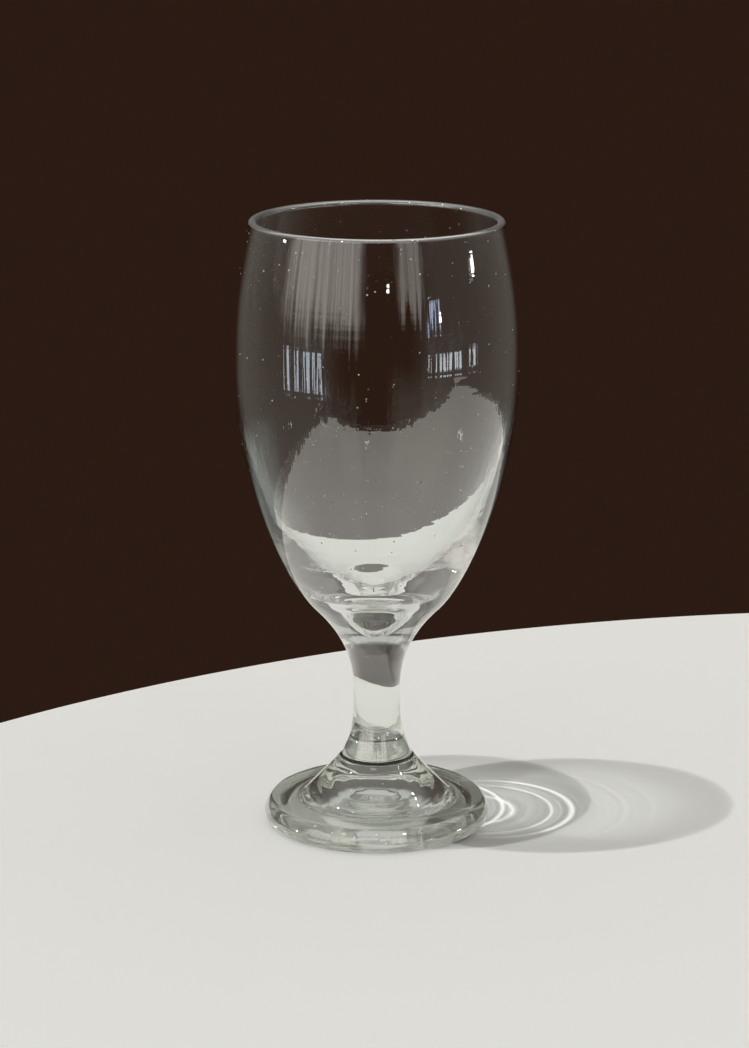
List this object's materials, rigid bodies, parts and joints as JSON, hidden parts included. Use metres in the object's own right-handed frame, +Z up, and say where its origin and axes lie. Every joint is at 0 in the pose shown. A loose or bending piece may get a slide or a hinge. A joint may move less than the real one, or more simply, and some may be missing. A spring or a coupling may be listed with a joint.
{
  "type": "water goblet",
  "caption": "Clear glass water goblet: a deep tapered bowl with a rounded lip and a thick dimpled bottom, on a waisted solid stem and a heavy round foot.",
  "frame": {"origin": "on the goblet's axis, on the surface that the foot rests on", "axes": "+Z up along the axis, from the foot to the mouth"},
  "size_m": [0.082, 0.082, 0.178],
  "materials": {
    "glass": "gloss"
  },
  "bodies": {
    "root": {"bowl": "glass", "stem": "glass", "foot": "glass"}
  },
  "joints": []
}
